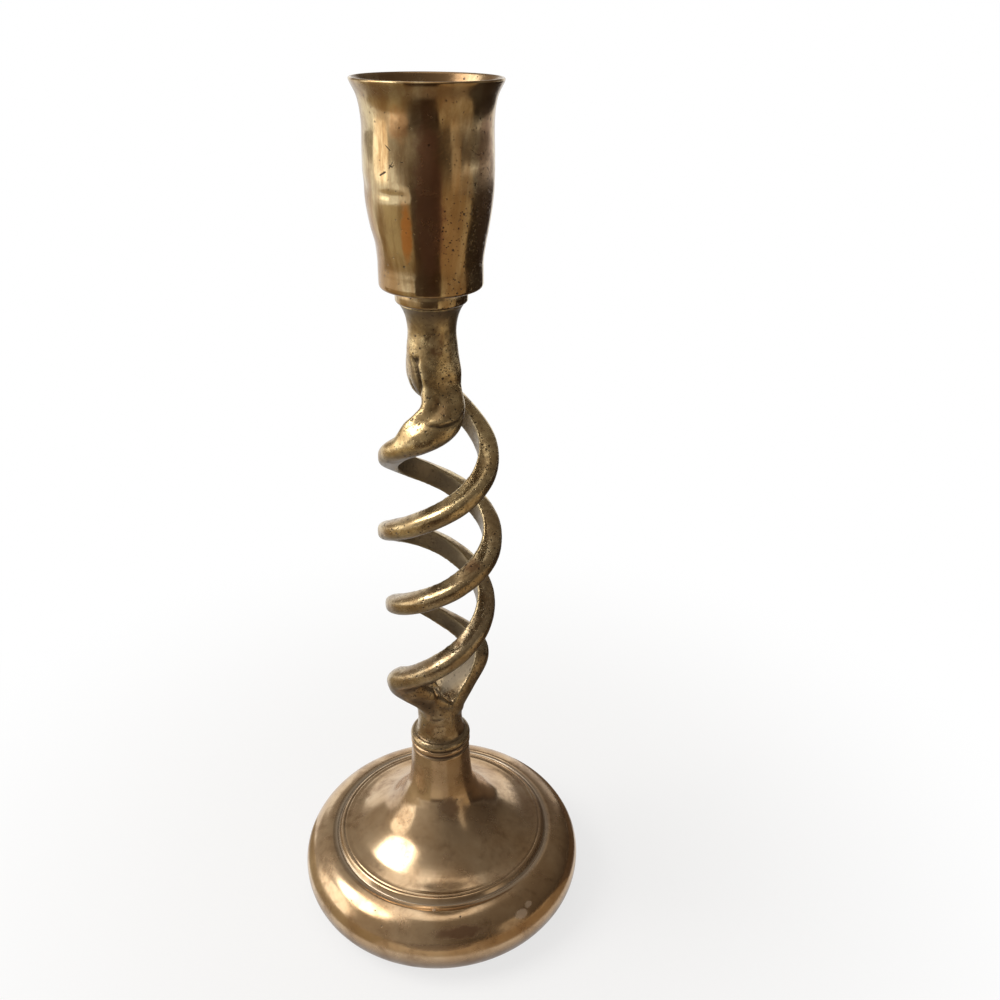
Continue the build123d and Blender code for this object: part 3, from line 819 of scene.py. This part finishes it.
# A tulip cup turned from a brass casting: thin flared lip, slight waist, bulge, taper to an eased
# lower edge, and a foot ring that screws down on the stem. Old polish, brown tarnish and pits; its
# dark bands are partly painted dark reflections, and it carries painted shade underneath.
socket_radius = 11.3
socket_floor = 208.5
bore_start = 0.62
cup_turns = 256
cup_side = smooth_run([
    (13.38, 206.4), (13.42, 209.0), (13.5, 212.13), (14.25, 216.9), (14.95, 220.61),
    (15.5, 224.2), (15.9, 228.0), (16.03, 231.0), (16.04, 236.0), (15.92, 244.4), (16.55, 249.4),
    (18.2, 253.2)], 10)
cup_foot = eased_corners([(0.6, stem_top), (8.9, stem_top), (9.4, 201.45), (9.42, 203.2), (9.3, 204.5),
                          (9.6, 204.75), (12.3, 204.85)], 0.3, 5)
cup_edge = smooth_run([(12.3, 204.85), (12.95, 205.1), (13.3, 205.6), (13.38, 206.4)], 5)
cup_lip = smooth_run([(18.2, 253.2), (18.27, 253.6), (18.02, 253.88), (17.6, 253.9),
                      (17.2, 253.6)], 5)
cup_inside = smooth_run([(17.2, 253.6), (15.6, 250.4), (14.3, 247.2), (13.8, 244.0),
                         (13.95, 235.0), (13.5, 231.9)], 8)
cup_bore = eased_corners([(13.5, 231.9), (11.35, 228.5), (socket_radius, 228.2),
                          (socket_radius, socket_floor + 0.5), (10.8, socket_floor),
                          (0.6, socket_floor)], 0.4, 5)
cup_profile = even_run(np.vstack([cup_foot, cup_edge[1:], cup_side[1:], cup_lip[1:],
                                  cup_inside[1:], cup_bore[1:]]), 0.8)
cup_points, cup_faces = turned_surface(cup_profile, cup_turns)
cup_radius = np.hypot(cup_points[:, 0], cup_points[:, 1])
held = fade(cup_points[:, 2], 206, 3) * fade(cup_points[:, 2], 253, -3)
stretched = cup_points * (1, 1, 0.45)
dent = 0.07 + 0.055 * lattice_noise(stretched, 7.0, 21) + 0.03 * lattice_noise(cup_points, 4.2, 22)
for place, reach, depth in (((-15.3, -4.5, 230.0), (4.0, 4.5, 2.2), 0.38),
                            ((-14.2, -2.5, 216.0), (3.5, 4.5, 3.0), 0.28),
                            ((-9.5, -12.8, 229.3), (5.0, 4.0, 1.2), 0.14),
                            ((-15.2, -5.0, 243.5), (3.5, 4.0, 2.6), 0.22)):
    dent = dent + depth * round_place(cup_points, place, reach)
shrink = 1 - dent * held / np.maximum(cup_radius, 5)
cup_points[:, :2] *= shrink[:, None]
cup_height = cup_points[:, 2]
cup_dirt = (bell(cup_height, 204.75, 0.18) * (cup_radius > 8)
            + bell(cup_height, 201.15, 0.2)) * (cup_radius < 12)
cup_rows = len(cup_points) // cup_turns
in_bore = np.arange(len(cup_points)) // cup_turns > cup_rows * bore_start
cup = finished_piece("candle_cup_casting", cup_points, cup_faces,
                     {"dirt_and_shade": np.clip(cup_dirt, 0, 1), "bore": in_bore})

cup_brass, tree, shader, where, facing, dirt_and_shade = aged_brass("aged brass cup")
bore = attribute(tree, "bore")
drawn = vector_math(tree, "MULTIPLY", where, (1, 1, 0.22))
streaks = cloud_mask(tree, drawn, 0.011, 0.5, 0.09)
thin = cloud_mask(tree, drawn, 0.0035, 0.45, 0.1)
small = cloud_mask(tree, where, 0.0055, 0.42, 0.15)
pitted_side = stains(tree, where, [((9, -11, 218), (10, 10, 34), 1.0),
                                   ((-9, 12, 216), (9, 9, 18), 0.7)])
coarse = pitting(tree, where, 0.0013, ramp(tree, pitted_side, 0.0, 1.0, 0.1, 0.85), 0.24, 0.012)
fine = pitting(tree, where, 0.0008, ramp(tree, pitted_side, 0.0, 1.0, 0.12, 0.85), 0.27, 0.01)
scratch = group(tree, hairs, {"Position": where, "Turn": (0.9, 0.4, 0.3), "Length": 0.02,
                              "Amount": 0.08})
# Dark bands down the cup, partly real tarnish and partly painted dark reflections: at the front, the
# right, the back and the left.
band_tarnish_and_reflection = stains(tree, where, [((-0.2, -16, 226), (4.6, 6, 30), 0.85),
                                 ((13.5, -9, 230), (4, 8, 26), 0.6),
                                 ((2, 16, 228), (6, 6, 26), 0.6), ((-15, 6, 236), (6, 5, 14), 0.5)])
orange = stains(tree, where, [((-5.6, -14.2, 220), (1.8, 4, 9.5), 0.9),
                              ((-6.5, -13.5, 245), (3, 5, 5), 0.5),
                              ((10, 12, 220), (4, 5, 11), 0.7)])
cuts = nicks(tree, where, [((-11.2, -11.4, 233.6), (-10.0, -12.5, 234.4), 0.26),
                           ((-9.0, -13.2, 235.4), (-8.0, -13.9, 237.0), 0.2),
                           ((-8.9, -13.3, 236.0), (-8.3, -13.7, 235.7), 0.25),
                           ((-6.3, -14.7, 236.9), (-5.8, -14.9, 236.9), 0.2),
                           ((-10.0, -12.5, 240.5), (-8.6, -13.4, 239.2), 0.16),
                           ((3.0, 15.6, 240.0), (4.5, 15.2, 238.0), 0.2)])
# Painted shade: faces that turn downwards are painted a darker, duller brown.
underside_shade = ramp(tree, facing, -0.05, -0.7)
spots = most(tree, times(tree, dirt_and_shade, 0.75), times(tree, coarse[0], 0.8), times(tree, fine[0], 0.6),
             times(tree, cuts, 0.9))
color = blend_color(tree, streaks, tone(218, 196, 152), tone(176, 142, 98))
color = coated(tree, color, [
    (thin, 0.45, (152, 116, 74)), (band_tarnish_and_reflection, 1.0, (138, 92, 66)), (orange, 1.0, (226, 156, 90)),
    (small, 0.35, (132, 98, 62)), (underside_shade, 0.7, (98, 72, 50)), (bore, 0.6, (112, 84, 58)),
    (spots, 1.0, (52, 36, 24))])
tarnish = most(tree, times(tree, band_tarnish_and_reflection, 0.5), times(tree, underside_shade, 0.5), spots,
               times(tree, bore, 0.6))
relief = math_node(tree, "ADD", coarse[1], times(tree, fine[1], 0.6))
relief = math_node(tree, "SUBTRACT", relief, times(tree, scratch.outputs[0], 0.1))
relief = math_node(tree, "SUBTRACT", relief, cuts)
finish(tree, shader, color, (small, 0.13, 0.23), tarnish, 0.15, relief, 0.4, 0.00012)
cup.data.materials.append(cup_brass)
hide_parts("candle_cup")
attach(cup, "root")

# Studs

# Two M6 threaded rods in plain steel. The upper one is hidden and screws the cup to the stem. The
# lower one pulls the stem down on the base, and its end shows under the nut.


def threaded_rod(name, bottom, top):
    """Rod with a thread: the radius at height z and angle a falls by the depth times a triangle
    wave of z / pitch - a / 2 pi, and runs out to a chamfer at both ends."""
    crest, depth, end_radius, pitch = 2.98, 0.5, 2.4, 1.0
    around = 48
    z = np.arange(bottom, top + 0.01, pitch / 8)
    a = np.linspace(0, 2 * np.pi, around, endpoint=False)
    phase = (z[:, None] / pitch - a[None, :] / (2 * np.pi)) % 1.0
    fall = np.clip(1.35 * (1 - np.abs(2 * phase - 1)) - 0.12, 0, 1)
    end = np.minimum(z - bottom, top - z)[:, None]
    r = np.minimum(crest - depth * fall, end_radius + end)
    faces = grid_faces(len(z), around)
    faces += [list(range(around))[::-1], list(range((len(z) - 1) * around, len(z) * around))]
    return finished_piece(name, round_grid(r, z), faces)


steel, tree, shader, place = shaded("plain steel")
shader.inputs["Metallic"].default_value = 1.0
where = place["Object"]
cloud = cloud_mask(tree, where, 0.005, 0.45, 0.15)
color = blend_color(tree, cloud, (0.56, 0.55, 0.53), (0.33, 0.28, 0.23))
tree.links.new(color, shader.inputs["Base Color"])
tree.links.new(ramp(tree, cloud, 0.0, 1.0, 0.3, 0.5), shader.inputs["Roughness"])
grain = put(tree, "ShaderNodeTexNoise", {"Vector": where, "Scale": 1600.0, "Detail": 3.0})
bump = put(tree, "ShaderNodeBump", {"Strength": 0.25, "Distance": 0.0001,
                                    "Height": grain.outputs["Fac"]})
tree.links.new(bump.outputs[0], shader.inputs["Normal"])
for name, node, bottom, top in (("cup_stud_rod", "cup_stud", 189.6, 206.4),
                                ("stem_stud_rod", "stem_stud", 27.9, 68.6)):
    rod = threaded_rod(name, bottom, top)
    rod.data.materials.append(steel)
    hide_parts(node)
    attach(rod, "root")

# Washer

# A stamped steel washer, 16 mm across, that spreads the nut's pull on the base's inner boss.
washer_low, washer_top = 34.42, boss_face - 0.02
washer_profile = eased_corners([(stud_hole, 35.0), (stud_hole, washer_low + 0.08),
                                (3.5, washer_low), (7.8, washer_low), (8.0, 34.6), (8.0, 35.8),
                                (7.85, washer_top), (3.55, washer_top), (stud_hole, 35.85),
                                (stud_hole, 35.2)], 0.15, 3)
washer_points, washer_faces = turned_surface(washer_profile, 96, closed=True)
washer = finished_piece("base_washer_ring", washer_points, washer_faces)
washer.data.materials.append(steel)
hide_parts("base_washer")
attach(washer, "root")

# Nut

# A hexagon nut, 10 mm across its flats, with both faces turned off at the corners.
nut_low, nut_top = 29.42, 34.38
nut_half_width, nut_hole, nut_face_radius, nut_chamfer_rise = 5.0, 2.9, 4.9, 1.7
nut_around = 144
nut_z = np.array([nut_low, nut_low, 29.6, 29.8, 30.1, 31.9, 33.7, 34.0, 34.2, nut_top, nut_top])
nut_a = np.linspace(0, 2 * np.pi, nut_around, endpoint=False)
hexagon = nut_half_width / np.cos((nut_a + np.pi / 6) % (np.pi / 3) - np.pi / 6)
chamfer = nut_face_radius + np.minimum(nut_z - nut_low, nut_top - nut_z) * nut_chamfer_rise
nut_r = np.minimum(hexagon[None, :], chamfer[:, None])
nut_r[0] = nut_r[-1] = nut_hole
nut = finished_piece("base_nut_hexagon", round_grid(nut_r, nut_z),
                     grid_faces(len(nut_z), nut_around, closed=True))
nut.data.polygons.foreach_set("use_smooth", np.zeros(len(nut.data.polygons), bool))
nut.data.materials.append(steel)
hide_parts("base_nut")
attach(nut, "root")

# Stage

# A pale paper floor that curves up far behind the holder, soft lamps, cards that only the metal
# sees, and the camera at the photograph's place, close in front of the holder and a little
# above its cup.
floor_front, floor_flat, floor_bend, floor_half = 0.9, 3.2, 0.32, 1.9
bend_run = 0.5
across, run = np.meshgrid(np.linspace(-1, 1, 3), np.linspace(0, 4.2, 60), indexing="ij")
bend = fade(run, floor_flat, bend_run) * np.pi / 2
floor_y = np.minimum(run, floor_flat) - floor_front + floor_bend * np.sin(bend)
floor_z = floor_bend * (1 - np.cos(bend)) + np.maximum(run - floor_flat - bend_run, 0) * 1.5
floor_points = np.stack([across * floor_half, floor_y, floor_z], -1).reshape(-1, 3) * 1000
floor = finished_piece("floor_paper", floor_points,
                       [face[::-1] for face in grid_faces(3, 60, ring=False)])
paper, tree, shader, place = shaded("floor paper")
shader.inputs["Base Color"].default_value = (0.93, 0.93, 0.935, 1)
shader.inputs["Roughness"].default_value = 0.7
shader.inputs["Specular IOR Level"].default_value = 0.2
seen = put(tree, "ShaderNodeLightPath")
shown = math_node(tree, "MAXIMUM", seen.outputs["Is Camera Ray"], seen.outputs["Is Glossy Ray"])
shown = math_node(tree, "MAXIMUM", shown, seen.outputs["Is Transmission Ray"])
far = ramp(tree, vector_math(tree, "LENGTH", place["Object"]), 0.05, 0.24, 0.74, 1.0)
glow = put(tree, "ShaderNodeEmission", {"Color": (1, 1, 1, 1), "Strength": 1.0})
mixed = put(tree, "ShaderNodeMixShader", {0: math_node(tree, "MULTIPLY", shown, far),
                                          1: shader.outputs[0], 2: glow.outputs[0]})
tree.links.new(mixed.outputs[0], tree.nodes["Material Output"].inputs["Surface"])
floor.data.materials.append(paper)
floor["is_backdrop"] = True


holder_middle = Vector((0, 0, 0.12))


def softbox(name, azimuth, elevation, distance, width, height, radiance, tint):
    """Oval area lamp that faces the holder's middle from an azimuth, 0 behind it and 90 to the
    right, and an elevation. Its power gives the stated radiance: power = radiance pi area."""
    lamp = bpy.data.lights.new(name, "AREA")
    lamp.shape, lamp.size, lamp.size_y = "ELLIPSE", width, height
    lamp.energy = radiance * math.pi * width * height * math.pi / 4
    lamp.color = tint
    a, e = math.radians(azimuth), math.radians(elevation)
    way = Vector((math.sin(a) * math.cos(e), math.cos(a) * math.cos(e), math.sin(e)))
    made = bpy.data.objects.new(name, lamp)
    made.location = holder_middle + way * distance
    made.rotation_euler = way.to_track_quat("Z", "Y").to_euler()
    bpy.context.scene.collection.objects.link(made)
    made.visible_camera = False


softbox("key_lamp", -92, 48, 1.1, 0.75, 0.62, 5.6, (1.0, 0.985, 0.955))
softbox("left_panel", -90, 8, 1.3, 0.9, 1.0, 1.5, (1.0, 0.97, 0.91))
softbox("right_panel", 132, 5, 1.3, 0.4, 0.8, 0.42, (1.0, 0.9, 0.74))
softbox("top_lamp", -35, 78, 1.4, 1.0, 1.0, 1.0, (1.0, 0.99, 0.97))


def shade_card(name, start, end, far, close, paint):
    """Flat card lying on the floor, a sector from one azimuth to another, that only the metal
    sees, as a studio's dark and warm cards are set out of the picture. Its colour goes from one
    close to the holder to another with the distance from the axis."""
    a, r = np.meshgrid(np.radians(np.linspace(start, end, 24)), np.linspace(0.06, far, 4),
                       indexing="ij")
    grid = np.stack([r * np.sin(a), r * np.cos(a), 0 * a + 0.001], -1).reshape(-1, 3)
    card = finished_piece(name, grid * 1000, grid_faces(24, 4, ring=False))
    material, tree, shader, place = shaded(name)
    away = vector_math(tree, "LENGTH", place["Object"])
    color = blend_color(tree, ramp(tree, away, 0.14, 0.27), close, paint)
    tree.links.new(color, shader.inputs["Base Color"])
    shader.inputs["Roughness"].default_value = 0.9
    card.data.materials.append(material)
    card.visible_camera = card.visible_shadow = card.visible_diffuse = False
    card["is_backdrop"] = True


shade_card("front_card", 160, 215, 1.5, tone(225, 214, 196), tone(78, 60, 47))
shade_card("warm_card", 100, 160, 1.5, tone(190, 170, 140), tone(240, 222, 192))
shade_card("right_card", 28, 100, 1.5, tone(118, 100, 82), tone(62, 50, 43))
shade_card("left_card", 215, 300, 0.8, tone(184, 172, 146), tone(176, 162, 134))

# The room round the stage is white to the camera alone. The brass sees it warm and dark, lighter
# to the left and above.
world = bpy.data.worlds.new("warm room")
bpy.context.scene.world = world
world.use_nodes = True
tree = world.node_tree
way = put(tree, "ShaderNodeTexCoord").outputs["Generated"]
split = put(tree, "ShaderNodeSeparateXYZ", {0: way})
lift = ramp(tree, split.outputs[2], -0.25, 0.9)
left = ramp(tree, split.outputs[0], 0.5, -0.9)
room = blend_color(tree, left, (0.07, 0.055, 0.043), (0.42, 0.38, 0.33))
room = blend_color(tree, math_node(tree, "MULTIPLY", lift, 0.45), room, (0.34, 0.31, 0.27))
below = ramp(tree, split.outputs[2], -0.02, -0.2)
room = blend_color(tree, below, room, (0.14, 0.11, 0.09))
seen = put(tree, "ShaderNodeLightPath")
room = blend_color(tree, seen.outputs["Is Camera Ray"], room, (1.0, 1.0, 1.0))
tree.links.new(room, tree.nodes["Background"].inputs["Color"])
tree.nodes["Background"].inputs["Strength"].default_value = 1.0

# The camera stands close, so the holder narrows downwards in the picture. Its turns are in
# radians: to the side, down from level, and about its own line of sight.
eye_place = (0, -0.24613, 0.26898)
eye_side, eye_down, eye_roll = -0.074, 0.471, 0.013
camera = bpy.data.cameras.new("camera")
camera.lens = 35.05
camera.sensor_width = 36.0
camera.clip_start = 0.01
eye = bpy.data.objects.new("camera", camera)
eye.matrix_world = (Matrix.Translation(eye_place) @ Matrix.Rotation(eye_side, 4, "Z")
                    @ Matrix.Rotation(math.pi / 2 - eye_down, 4, "X")
                    @ Matrix.Rotation(eye_roll, 4, "Z"))
bpy.context.scene.collection.objects.link(eye)
bpy.context.scene.camera = eye
bpy.context.scene.view_settings.view_transform = "Standard"

low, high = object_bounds()
